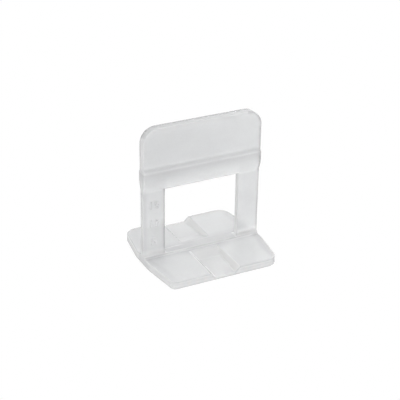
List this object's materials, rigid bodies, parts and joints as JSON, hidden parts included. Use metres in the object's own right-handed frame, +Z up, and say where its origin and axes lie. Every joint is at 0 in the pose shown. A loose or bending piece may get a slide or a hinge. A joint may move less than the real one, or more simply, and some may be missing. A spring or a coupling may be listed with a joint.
{
  "type": "tile spacer",
  "caption": "One-piece tile levelling spacer: rounded base plate with adhesive troughs, thin legs that set the joint, a window for a wedge and a pull tab.",
  "frame": {"origin": "middle of the plate's flat underside, below the middle of the stem", "axes": "+X along the stem's width, +Y across the joint from one wing to the other, +Z up along the legs to the pull tab"},
  "size_m": [0.032, 0.0294, 0.0363],
  "materials": {
    "natural_plastic": "satin translucent natural polypropylene"
  },
  "bodies": {
    "root": {"levelling_clip": "natural_plastic"}
  },
  "joints": []
}
